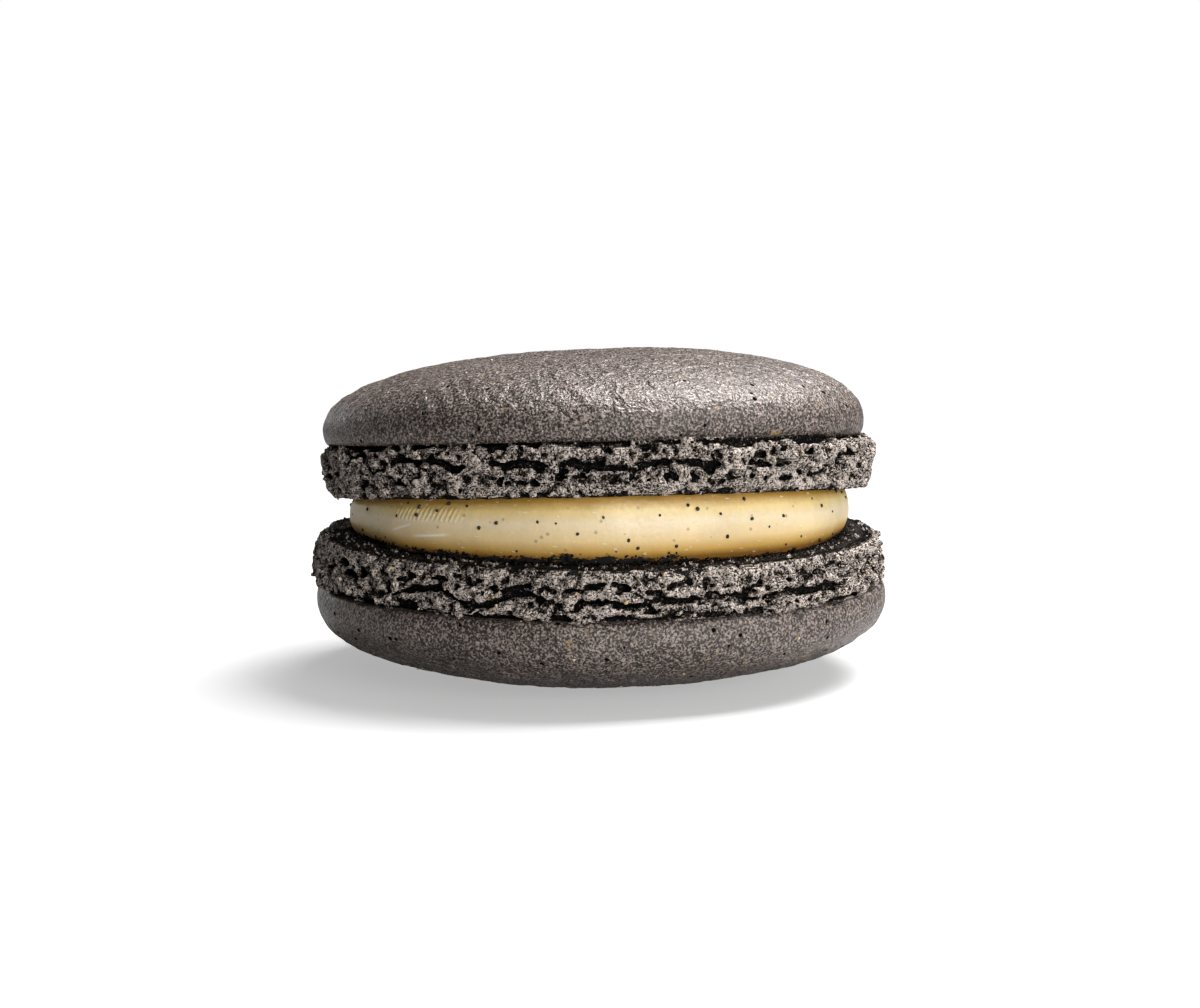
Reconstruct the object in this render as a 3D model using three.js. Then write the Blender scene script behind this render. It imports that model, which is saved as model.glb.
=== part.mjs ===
// French macaron: two round almond meringue shells, each with a smooth dome and a crumbly foot
// round its rim, and a disc of vanilla ganache between them. Millimetres, +Z up, front at -Y.
// The bottom shell lies level on its crown, and the top shell leans back on a wedge of ganache.

import * as THREE from 'three';

// Bottom shell
const BOTTOM_DOME_RADIUS = 22.65;
const BOTTOM_DOME_HEIGHT = 7.45;
const BOTTOM_FOOT_RADIUS = 23.0;
const BOTTOM_FOOT_HEIGHT = 3.9;
const RESTING_SPOT_RADIUS = 6.0; // level patch that the crown rests on

// Top shell
const TOP_DOME_RADIUS = 21.4;
const TOP_DOME_HEIGHT = 7.2;
const TOP_FOOT_RADIUS = 21.95;
const TOP_FOOT_HEIGHT = 4.15;
const TOP_CROWN_RADIUS = 2.0; // innermost ring of points on its crown
const TOP_DOME_SHIFT = -0.35; // the dome sits a little to the left of its foot
const TOP_DOME_LEAN = 0.0022; // share by which the dome is higher for each millimetre to the right

// Ganache, and how the top shell lies on it
const FILLING_HEIGHT = 3.05; // between the two inner faces, at the middle
const FILLING_RADIUS = 19.9;
const FILLING_SWELL = 0.5; // how far its side stands out half way up
const LEAN_BACK = THREE.MathUtils.degToRad(6.3);
const LEAN_LEFT = THREE.MathUtils.degToRad(1.2);
const CLEARANCE = 0.3; // gap under the leaning shell

// Outline of a dome: the cap down to its widest line, then the curl back in to the foot
const DOME_POWER = 2.18; // a little squarer than an ellipse, which makes the crown nearly flat
const CURL_SHARE = 0.16; // of the dome's height
const CURL_DEPTH = 0.45;

// Outline and crags of a foot
const CREVICE_DEPTH = 0.8; // dark line where the foot meets the dome
const FOOT_TAPER = 1.0; // how much narrower the foot is at the inner face
const CRAG_DEPTH = 0.55;

// Slow waves that make each outline uneven, as [waves in a turn, height, phase]
const BOTTOM_OUTLINE = [[2, 0.14, 0.4], [3, 0.16, 2.1], [5, 0.1, 4.0], [7, 0.07, 1.3]];
const TOP_OUTLINE = [[2, 0.12, 2.6], [3, 0.13, 0.7], [5, 0.11, 5.2], [8, 0.07, 3.4]];
const FILLING_OUTLINE = [[2, 0.12, 1.1], [4, 0.15, 3.0], [7, 0.1, 0.2], [11, 0.06, 2.2]];

// How finely the solids are divided
const COLUMNS = 118;
const DOME_ROWS = 10;
const FOOT_ROWS = 9;
const FILLING_ROWS = 6;

const BOTTOM_CRAG_SEED = 11;
const TOP_CRAG_SEED = 29;

const shellMaterial = new THREE.MeshStandardMaterial({ color: 0x7d7370, roughness: 0.75 });
const ganacheMaterial = new THREE.MeshStandardMaterial({ color: 0xeed9ab, roughness: 0.35 });

// Sum of the slow waves at an angle
function unevenness(waves, angle) {
  return waves.reduce((sum, [count, height, phase]) => sum + height * Math.sin(count * angle + phase), 0);
}

// Repeatable random numbers from 0 to 1
function seededRandom(seed) {
  const modulus = 2 ** 32;
  let state = seed;
  return () => {
    state = (state * 1664525 + 1013904223) % modulus;
    return state / modulus;
  };
}

// Random heights from about -1 to 1 for the points of a foot, each blended with its
// neighbours along the rim and above and below, so that a crumb is two or three points wide
function cragField(seed) {
  const random = seededRandom(seed);
  const raw = Array.from({ length: FOOT_ROWS }, () => (
    Array.from({ length: COLUMNS }, () => random() * 2 - 1)
  ));
  return raw.map((values, row) => values.map((value, column) => {
    const along = values[(column + 1) % COLUMNS] + values[(column + COLUMNS - 1) % COLUMNS];
    const below = raw[Math.max(row - 1, 0)][column];
    const above = raw[Math.min(row + 1, FOOT_ROWS - 1)][column];
    return 0.6 * value + 0.35 * along + 0.3 * (below + above);
  }));
}

// Closed solid from rows of points that run up from the middle of its underside to the middle
// of its top, point(row, column, angle) giving [x, y, z], with a fan of triangles at each end
function solidOfRows(rowCount, point) {
  const positions = [];
  for (let row = 0; row < rowCount; row += 1) {
    for (let column = 0; column < COLUMNS; column += 1) {
      positions.push(...point(row, column, (2 * Math.PI * column) / COLUMNS));
    }
  }
  const middleOfRow = (row) => {
    const start = row * COLUMNS;
    const middle = new THREE.Vector3();
    for (let column = 0; column < COLUMNS; column += 1) {
      middle.add(new THREE.Vector3().fromArray(positions, (start + column) * 3));
    }
    return middle.divideScalar(COLUMNS);
  };
  const underMiddle = rowCount * COLUMNS;
  const topMiddle = underMiddle + 1;
  positions.push(...middleOfRow(0).toArray(), ...middleOfRow(rowCount - 1).toArray());

  const index = [];
  const lastRow = (rowCount - 1) * COLUMNS;
  for (let column = 0; column < COLUMNS; column += 1) {
    const next = (column + 1) % COLUMNS;
    index.push(underMiddle, next, column, topMiddle, lastRow + column, lastRow + next);
    for (let start = 0; start < lastRow; start += COLUMNS) {
      const above = start + COLUMNS;
      index.push(start + column, start + next, above + next);
      index.push(start + column, above + next, above + column);
    }
  }
  const geometry = new THREE.BufferGeometry();
  geometry.setAttribute('position', new THREE.Float32BufferAttribute(positions, 3));
  geometry.setIndex(index);
  geometry.computeVertexNormals();
  return geometry;
}

// Rows of a shell that stands on its crown, as { radius, height, shift, wave, crag }: shift
// and wave are the shares of the dome's offset and of the slow waves, and crag is a foot row
function shellRows(size) {
  const rows = [];
  const curl = CURL_SHARE * size.domeHeight;
  const cap = size.domeHeight - curl;
  const firstTurn = Math.asin(size.crownRadius / size.domeRadius);
  for (let i = 0; i < DOME_ROWS; i += 1) {
    const turn = firstTurn + ((Math.PI / 2 - firstTurn) * i) / (DOME_ROWS - 1);
    const share = Math.sin(turn);
    const height = cap * (1 - (1 - share ** DOME_POWER) ** (1 / DOME_POWER));
    rows.push({ radius: size.domeRadius * share, height, shift: 1, wave: share });
  }
  rows.push({ radius: size.domeRadius - CURL_DEPTH, height: cap + 0.8 * curl, shift: 1, wave: 1 });
  for (let i = 0; i < FOOT_ROWS; i += 1) {
    const climb = i / (FOOT_ROWS - 1);
    const crevice = i === 0 ? CREVICE_DEPTH : 0;
    const radius = size.footRadius - crevice - FOOT_TAPER * climb ** 3;
    const height = size.domeHeight + size.footHeight * climb;
    rows.push({ radius, height, shift: 0, wave: 1, crag: i });
  }
  return rows;
}

// One shell standing on its crown, whose level patch or innermost ring is at height 0
function shellGeometry(size) {
  const rows = shellRows(size);
  const crags = cragField(size.cragSeed);
  const crownHeight = rows[0].height;
  const innerFaceRow = rows.length - 1;
  return solidOfRows(rows.length, (row, column, angle) => {
    const at = rows[row];
    const crag = at.crag === undefined ? 0 : CRAG_DEPTH * crags[at.crag][column];
    const radius = at.radius + at.wave * unevenness(size.outline, angle) + crag;
    const x = radius * Math.cos(angle) + at.shift * size.shift;
    const y = radius * Math.sin(angle);
    const belowFoot = Math.max(size.domeHeight - at.height, 0);
    const crumble = row > DOME_ROWS && row < innerFaceRow ? 0.3 * crag : 0;
    return [x, y, at.height - crownHeight - size.lean * x * belowFoot + crumble];
  });
}

// Height of a shell from the level of its crown to its inner face
function shellHeight(size) {
  return size.domeHeight + size.footHeight - shellRows(size)[0].height;
}

// Ganache: a disc whose side swells and whose top is cut along the leaning inner face
function fillingGeometry() {
  const riseToRight = Math.tan(LEAN_LEFT);
  const riseToFront = Math.tan(LEAN_BACK);
  return solidOfRows(FILLING_ROWS, (row, column, angle) => {
    const climb = row / (FILLING_ROWS - 1);
    const swell = FILLING_SWELL * (Math.sin(Math.PI * climb) - 1);
    const radius = FILLING_RADIUS + unevenness(FILLING_OUTLINE, angle) + swell;
    const x = radius * Math.cos(angle);
    const y = radius * Math.sin(angle);
    const top = FILLING_HEIGHT - CLEARANCE + riseToRight * x - riseToFront * y;
    return [x, y, climb * top];
  });
}

const bottomSize = {
  domeRadius: BOTTOM_DOME_RADIUS,
  domeHeight: BOTTOM_DOME_HEIGHT,
  crownRadius: RESTING_SPOT_RADIUS,
  footRadius: BOTTOM_FOOT_RADIUS,
  footHeight: BOTTOM_FOOT_HEIGHT,
  outline: BOTTOM_OUTLINE,
  cragSeed: BOTTOM_CRAG_SEED,
  shift: 0,
  lean: 0,
};

const topSize = {
  domeRadius: TOP_DOME_RADIUS,
  domeHeight: TOP_DOME_HEIGHT,
  crownRadius: TOP_CROWN_RADIUS,
  footRadius: TOP_FOOT_RADIUS,
  footHeight: TOP_FOOT_HEIGHT,
  outline: TOP_OUTLINE,
  cragSeed: TOP_CRAG_SEED,
  shift: TOP_DOME_SHIFT,
  lean: TOP_DOME_LEAN,
};

const bottomShell = new THREE.Mesh(shellGeometry(bottomSize), shellMaterial);
bottomShell.name = 'bottom_shell';

const filling = new THREE.Mesh(fillingGeometry(), ganacheMaterial);
filling.name = 'filling';
filling.position.z = shellHeight(bottomSize);

// The top shell is turned over so that its crown points up, then leans with its group
const topShell = new THREE.Mesh(shellGeometry(topSize), shellMaterial);
topShell.name = 'top_shell';
topShell.rotation.x = Math.PI;
topShell.position.z = shellHeight(topSize);

const leaning = new THREE.Group();
leaning.position.z = shellHeight(bottomSize) + FILLING_HEIGHT;
leaning.rotation.set(-LEAN_BACK, -LEAN_LEFT, 0);
leaning.add(topShell);

const macaron = new THREE.Group();
macaron.add(bottomShell, filling, leaning);

export default macaron;
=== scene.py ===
# %% [markdown]
# # A french macaron
# Two round almond meringue shells hold a layer of vanilla ganache. Each shell has a thin smooth
# dome and, round its rim, a foot: the open crumb that rises under the dome in the oven. The
# construction is loaded first, as a fixed frame, and every piece made here sits where it says.

# %% Load the frame
import itertools
import math

import bpy
import numpy as np
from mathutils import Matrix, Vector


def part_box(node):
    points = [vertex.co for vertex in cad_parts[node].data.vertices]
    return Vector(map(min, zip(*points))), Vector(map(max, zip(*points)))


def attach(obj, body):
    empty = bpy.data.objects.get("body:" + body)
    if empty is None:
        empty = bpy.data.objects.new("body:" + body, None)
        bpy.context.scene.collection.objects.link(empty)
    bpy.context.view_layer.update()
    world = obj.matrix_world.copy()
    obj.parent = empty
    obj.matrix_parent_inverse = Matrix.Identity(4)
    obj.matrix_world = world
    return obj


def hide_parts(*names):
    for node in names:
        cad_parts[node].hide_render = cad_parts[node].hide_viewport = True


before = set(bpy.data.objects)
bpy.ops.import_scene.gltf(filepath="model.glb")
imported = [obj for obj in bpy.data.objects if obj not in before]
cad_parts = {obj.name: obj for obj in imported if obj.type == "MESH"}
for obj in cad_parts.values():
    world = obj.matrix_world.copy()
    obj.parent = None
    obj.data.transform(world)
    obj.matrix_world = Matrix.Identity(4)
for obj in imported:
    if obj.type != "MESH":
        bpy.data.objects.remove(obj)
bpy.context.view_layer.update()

# %% [markdown]
# The sizes are in millimetres, as a baker would measure them. Each shell is described standing
# on its crown, with the flat inner face up. The same slow waves make each outline uneven in the
# construction and here, so the pieces fit each other.

# %% Sizes
MM = 0.001
BOTTOM = {
    "dome_radius": 22.65,
    "dome_height": 7.45,
    "foot_radius": 23.0,
    "foot_height": 3.9,
    "crown_radius": 6.0,
    "shift": 0.0,
    "lean": 0.0,
    "tuck": 0.3,
    "outline": [(2, 0.14, 0.4), (3, 0.16, 2.1), (5, 0.1, 4.0), (7, 0.07, 1.3)],
}
TOP = {
    "dome_radius": 21.4,
    "dome_height": 7.2,
    "foot_radius": 21.95,
    "foot_height": 4.15,
    "crown_radius": 2.0,
    "shift": -0.35,
    "lean": 0.0022,
    "tuck": 0.0,
    "outline": [(2, 0.12, 2.6), (3, 0.13, 0.7), (5, 0.11, 5.2), (8, 0.07, 3.4)],
}
DOME_POWER = 2.18
CURL_SHARE = 0.16
CURL_DEPTH = 0.45
FOOT_TAPER = 1.0

FILLING_HEIGHT = 3.05
FILLING_RADIUS = 19.9
FILLING_OUTLINE = [(2, 0.12, 1.1), (4, 0.15, 3.0), (7, 0.1, 0.2), (11, 0.06, 2.2)]
LEAN_BACK = math.radians(6.3)
LEAN_LEFT = math.radians(1.2)

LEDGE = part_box("bottom_shell")[1][2] / MM
print("inner face of the bottom shell at", round(LEDGE, 3), "mm")

# %% [markdown]
# The camera looks down on the macaron by a few degrees, through a long lens close to it, as a
# food photographer would use. The distance and the lens set how strong the perspective is.

# %% Camera
CAMERA_RISE = math.radians(7.63)
CAMERA_DISTANCE = 0.267
LENS = 100.0
AIM = (0.0, 0.0, 0.01321)

camera_data = bpy.data.cameras.new("camera")
camera_data.lens = LENS
camera_data.sensor_width = 36.0
camera_data.clip_start = 0.005
camera_data.clip_end = 50.0
camera = bpy.data.objects.new("camera", camera_data)
bpy.context.scene.collection.objects.link(camera)
camera.location = (
    AIM[0],
    AIM[1] - CAMERA_DISTANCE * math.cos(CAMERA_RISE),
    AIM[2] + CAMERA_DISTANCE * math.sin(CAMERA_RISE),
)
camera.rotation_euler = (math.pi / 2 - CAMERA_RISE, 0.0, 0.0)
bpy.context.scene.camera = camera
print("camera at", tuple(round(c, 4) for c in camera.location))

# %% [markdown]
# Everything on a macaron is uneven, so the first tools are two kinds of seeded randomness.
# Smooth noise blends random numbers on a lattice and gives wrinkles and lumps. Bubbles scatter
# balls of many sizes, one to each lattice cell, and tell how far a point is from the nearest
# wall: that is how the open crumb of a baked foam is made.

# %% Noise and bubbles
LATTICE = 64  # random numbers along each side, after which they repeat
TILT = np.array([[0.36, 0.48, -0.8], [-0.8, 0.6, 0.0], [0.48, 0.64, 0.6]])


def smooth_noise(points, cell, seed):
    """Random values from -1 to 1 at the corners of cubes with side cell, blended inside each
    cube with the weight 6t^5 - 15t^4 + 10t^3 along every axis. The cubes are tilted, so that
    no row of them shows on an upright or a level surface."""
    table = np.random.default_rng(seed).uniform(-1, 1, (LATTICE, LATTICE, LATTICE))
    table = table.astype(np.float32)
    place = points @ TILT / cell
    corner = np.floor(place)
    t = (place - corner).astype(np.float32)
    weight = t * t * t * (t * (t * 6 - 15) + 10)
    corner = corner.astype(np.int64)
    pick = (corner % LATTICE, (corner + 1) % LATTICE)
    total = 0
    for a, b, c in itertools.product((0, 1), repeat=3):
        share = 1.0
        for axis, side in enumerate((a, b, c)):
            w = weight[..., axis]
            share = share * (w if side else 1 - w)
        total = total + share * table[pick[a][..., 0], pick[b][..., 1], pick[c][..., 2]]
    return total


def layered_noise(points, cell, seed, layers):
    """Sum of smooth noise whose cell and height both halve with each layer."""
    return sum(
        0.5 ** k * smooth_noise(points + 7.3 * k, cell / 2 ** k, seed + k) for k in range(layers)
    )


def ball_walls(points, cell, smallest, largest, squash, seed, reach=None):
    """Distance to the nearest ball's wall, negative inside a ball: the least value of
    |point - centre| - radius over the balls of the 27 lattice cells around the point. squash
    is how many times wider than high a ball is. With reach, a ball shrinks where it would
    stick out past that distance from the axis."""
    random = np.random.default_rng(seed).random((LATTICE, LATTICE, LATTICE, 4)).astype(np.float32)
    place = (points * np.array([1, 1, squash]) / cell).astype(np.float32)
    corner = np.floor(place).astype(np.int64)
    inside = place - corner
    nearest = np.full(points.shape[:-1], np.inf, np.float32)
    for step in itertools.product((-1, 0, 1), repeat=3):
        at = (corner + np.array(step)) % LATTICE
        ball = random[at[..., 0], at[..., 1], at[..., 2]]
        away = ball[..., :3] + np.array(step, np.float32) - inside
        radius = smallest + (largest - smallest) * ball[..., 3] ** 2
        if reach is not None:
            centre = (place + away)[..., :2] * cell
            radius = np.minimum(radius, reach - np.hypot(centre[..., 0], centre[..., 1]))
        gap = np.sqrt((away ** 2).sum(-1)) * cell - radius
        np.minimum(nearest, gap, out=nearest)
    return nearest


def ramp(value, low, high):
    """0 below low, 1 above high, and 3t^2 - 2t^3 between."""
    t = np.clip((value - low) / (high - low), 0, 1)
    return t * t * (3 - 2 * t)


def round_points(radius, angle, height):
    """Points at a radius and an angle round the axis, and at a height."""
    return np.stack([radius * np.cos(angle), radius * np.sin(angle), height + 0 * angle], -1)


def unevenness(outline, angle):
    """Sum of slow waves round the rim: height times sin(waves x angle + phase)."""
    return sum(height * np.sin(waves * angle + phase) for waves, height, phase in outline)


# %% [markdown]
# Shells are worked out standing on their crowns and then placed. The bottom shell only moves up
# by its level spot. The top one is turned over and leans back on the wedge of ganache.

# %% Placing a shell
def cap_height(size, share):
    """Height of the dome at a share s of its radius: cap (1 - (1 - s^p)^(1/p))."""
    cap = (1 - CURL_SHARE) * size["dome_height"]
    return cap * (1 - (1 - share ** DOME_POWER) ** (1 / DOME_POWER))


def crown_drop(size):
    """How far the tip of the dome would reach below the level spot."""
    return cap_height(size, size["crown_radius"] / size["dome_radius"])


def place_bottom(points):
    """Lift by the crown's drop, and keep the crown level where it rests."""
    placed = points - np.array([0, 0, crown_drop(BOTTOM)])
    placed[..., 2] = np.maximum(placed[..., 2], 0.0)
    return placed


def lean(points):
    """Turn about X by the lean back and about Y by the lean left."""
    cb, sb = math.cos(-LEAN_BACK), math.sin(-LEAN_BACK)
    cl, sl = math.cos(-LEAN_LEFT), math.sin(-LEAN_LEFT)
    about_x = np.array([[1, 0, 0], [0, cb, -sb], [0, sb, cb]])
    about_y = np.array([[cl, 0, sl], [0, 1, 0], [-sl, 0, cl]])
    return points @ (about_x @ about_y).T


def place_top(points):
    """Turn over, lift by the shell's height, lean, and lift onto the ganache."""
    height = TOP["dome_height"] + TOP["foot_height"]
    turned = points * np.array([1, -1, -1]) + np.array([0, 0, height])
    return lean(turned) + np.array([0, 0, LEDGE + FILLING_HEIGHT])


def add_mesh(name, points, faces, attributes=None):
    """A smooth mesh object at the origin from points in millimetres and a list of face arrays,
    each with one row of corner numbers for a face."""
    mesh = bpy.data.meshes.new(name)
    flat = points.reshape(-1, 3) * MM
    corners = np.concatenate([f.ravel() for f in faces]).astype(np.int32)
    sizes = np.concatenate([np.full(len(f), f.shape[1]) for f in faces]).astype(np.int32)
    starts = np.concatenate([[0], np.cumsum(sizes)[:-1]]).astype(np.int32)
    mesh.vertices.add(len(flat))
    mesh.vertices.foreach_set("co", flat.astype(np.float32).ravel())
    mesh.loops.add(len(corners))
    mesh.loops.foreach_set("vertex_index", corners)
    mesh.polygons.add(len(sizes))
    mesh.polygons.foreach_set("loop_start", starts)
    mesh.polygons.foreach_set("loop_total", sizes)
    mesh.polygons.foreach_set("use_smooth", np.ones(len(sizes), bool))
    for key, values in (attributes or {}).items():
        layer = mesh.attributes.new(key, "FLOAT", "POINT")
        layer.data.foreach_set("value", values.ravel().astype(np.float32))
    mesh.update(calc_edges=True)
    mesh.validate()
    piece = bpy.data.objects.new(name, mesh)
    bpy.context.scene.collection.objects.link(piece)
    triangles = int((sizes - 2).sum())
    low, high = flat.min(0) / MM, flat.max(0) / MM
    print(name, triangles, "triangles, from", low.round(2), "to", high.round(2), "mm")
    return piece


# %% [markdown]
# The dome is a thin skin of dried meringue. It could be a turned profile, but then its points
# would crowd at the crown. A square grid pulled into a disc spreads them evenly, and the
# profile is followed by its arc length from the crown to the seam. The skin then gets slow
# dents, a fine wrinkle like leather, and slanting drag marks between its shoulder and its rim.

# %% Domes
DOME_COUNT = 305


def dome_profile(size, samples=600):
    """Arc share, radius and height from crown to seam: the cap, then a quarter ellipse that
    curls in by CURL_DEPTH."""
    curl = CURL_SHARE * size["dome_height"]
    share = np.sin(np.linspace(0, np.pi / 2, samples))
    turn = np.linspace(0, np.pi / 2, samples // 4)[1:]
    radius = np.concatenate(
        [size["dome_radius"] * share, size["dome_radius"] - CURL_DEPTH * (1 - np.cos(turn))]
    )
    height = np.concatenate(
        [cap_height(size, share), size["dome_height"] - curl + curl * np.sin(turn)]
    )
    step = np.hypot(np.diff(radius), np.diff(height))
    arc = np.concatenate([[0], np.cumsum(step)])
    return arc / arc[-1], radius, height


def disc_grid(count):
    """Reach and angle of a square grid pulled into a disc, each square ring onto a circle."""
    spread = np.linspace(-1, 1, count)
    u, v = np.meshgrid(spread, spread, indexing="ij")
    reach = np.maximum(abs(u), abs(v))
    beside = abs(u) >= abs(v)
    u_safe = np.where(u == 0, 1, u)
    v_safe = np.where(v == 0, 1, v)
    angle = np.where(
        beside,
        np.pi / 4 * v / u_safe + np.pi * (u < 0),
        np.pi / 2 - np.pi / 4 * u / v_safe + np.pi * (v < 0),
    )
    return reach, angle


def dome_points(size, reach, angle, seed):
    """Points of a dome at shares of its arc and angles, with its relief along the normal."""
    arc, radii, heights = dome_profile(size)
    radius = np.interp(reach, arc, radii)
    height = np.interp(reach, arc, heights)
    radius = radius + unevenness(size["outline"], angle) * radius / size["dome_radius"]
    x = radius * np.cos(angle) + size["shift"]
    y = radius * np.sin(angle)
    z = height - size["lean"] * x * (size["dome_height"] - height)
    points = np.stack([x, y, z], -1)
    normal = np.cross(np.gradient(points, axis=1), np.gradient(points, axis=0))
    normal /= np.linalg.norm(normal, axis=-1, keepdims=True)
    dents = 0.09 * smooth_noise(points, 6.5, seed) + 0.035 * smooth_noise(points, 2.2, seed + 1)
    bend = np.stack([smooth_noise(points, 1.9, seed + 10 + k) for k in range(3)], -1)
    ridges = 1 - abs(smooth_noise(points + 0.7 * bend, 1.25, seed + 2))
    grain = smooth_noise(points + 0.3 * bend, 0.55, seed + 3)
    calm = 1 - 0.6 * ramp(reach, 0.82, 0.95)
    wrinkle = calm * (0.08 * ridges ** 2 + 0.03 * grain)
    slant = angle + reach
    rim = size["dome_radius"] * np.stack([np.cos(slant), np.sin(slant)], -1)
    along = np.concatenate([rim / 0.8, 9 * reach[..., None]], -1) + 0.4 * bend
    drag = ramp(reach, 0.6, 0.75) * (1 - ramp(reach, 0.85, 0.93))
    marks = 0.075 * drag * smooth_noise(along, 1.0, seed + 5)
    relief = dents + wrinkle + marks
    return points + normal * relief[..., None]


def grid_faces(numbers, flip):
    """Four-cornered faces between neighbouring rows and columns of a grid of numbers."""
    a, b = numbers[:-1, :-1], numbers[1:, :-1]
    c, d = numbers[1:, 1:], numbers[:-1, 1:]
    order = (a, d, c, b) if flip else (a, b, c, d)
    return np.stack([part.ravel() for part in order], -1)


def ring_numbers(rows, columns):
    """Numbers of the points of a grid whose last column is followed by its first."""
    numbers = np.arange(rows * columns).reshape(rows, columns)
    return np.concatenate([numbers, numbers[:, :1]], 1)


def make_dome(name, size, place, seed):
    """A dome closed by a fan of hidden triangles at the seam."""
    reach, angle = disc_grid(DOME_COUNT)
    points = dome_points(size, reach, angle, seed)
    numbers = np.arange(DOME_COUNT ** 2).reshape(DOME_COUNT, DOME_COUNT)
    rim = np.concatenate(
        [numbers[:-1, 0], numbers[-1, :-1], numbers[:0:-1, -1], numbers[0, :0:-1]]
    )
    middle = np.array([[0, 0, size["dome_height"]]])
    every = np.concatenate([points.reshape(-1, 3), middle])
    fan = np.stack([rim, np.roll(rim, -1), np.full(len(rim), DOME_COUNT ** 2)], -1)
    return add_mesh(name, place(every), [grid_faces(numbers, flip=True), fan])


bottom_dome = make_dome("bottom_dome", BOTTOM, place_bottom, seed=101)
top_dome = make_dome("top_dome", TOP, place_top, seed=202)

# %% [markdown]
# The foot is a foam that has burst: caves a millimetre wide, thin walls with pits between
# them, creased lumps, and long dark crevices that run round it. No grid over the surface can
# fold into caves like these. So the crumb is written as a field in space, positive where there
# is crumb and negative where there is air, and its skin is found where the field is nought.
# The field is sampled round the rim in rings, and whole arrays are compared at once.

# %% The field of a foot
PITCH = 0.17  # of the lattice, as fine as keeps each foot under 200,000 triangles
RIM_DEPTH = 2.1  # how far in from the rim the field reaches
RIM_MARGIN = 0.6
CAVE_DEPTH = 1.45
PIT_DEPTH = 1.0
SEAM_OVERLAP = 0.3  # how far the crumb runs down behind the rim of the dome

# Crevices, each as its place up the foot from 0 to 1, how far that wanders, its half width in
# millimetres, the cell of the noise that opens it, and what it adds to the seed
CREVICES = [
    (0.05, 0.05, 0.36, 2.0, 10),
    (0.40, 0.20, 0.28, 2.4, 20),
    (0.64, 0.16, 0.06, 1.8, 30),
]


def face_height(size, points, seed):
    """Height of the inner face above its mean level: fine crumbs on slow dents."""
    flat = points * np.array([1, 1, 0])
    crumbs = layered_noise(flat, 0.5, seed + 41, 2)
    return 0.06 * smooth_noise(flat, 1.3, seed + 40) + 0.06 * crumbs


def face_shade(points, seed):
    """How dark the inner face is: 1.25 where the ganache soaks it and as painted shadow under the
    ganache and the top shell, less by 0.45 towards the rim, and less by another 0.9 at the left
    end that shows behind the ganache, as a painted sheen of light grazing it from behind."""
    x, y = points[..., 0], points[..., 1]
    reach = np.hypot(x, y) + 0.6 * smooth_noise(points, 0.9, seed + 50)
    # Painted sheen: the back of the left end is made paler, as light grazing it from behind
    end = ramp(-x, 18.8, 20.4) * ramp(y, -2.0, 2.0)
    return 1.25 - 0.45 * ramp(reach, FILLING_RADIUS + 0.9, FILLING_RADIUS + 2.5) - 0.9 * end


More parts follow.
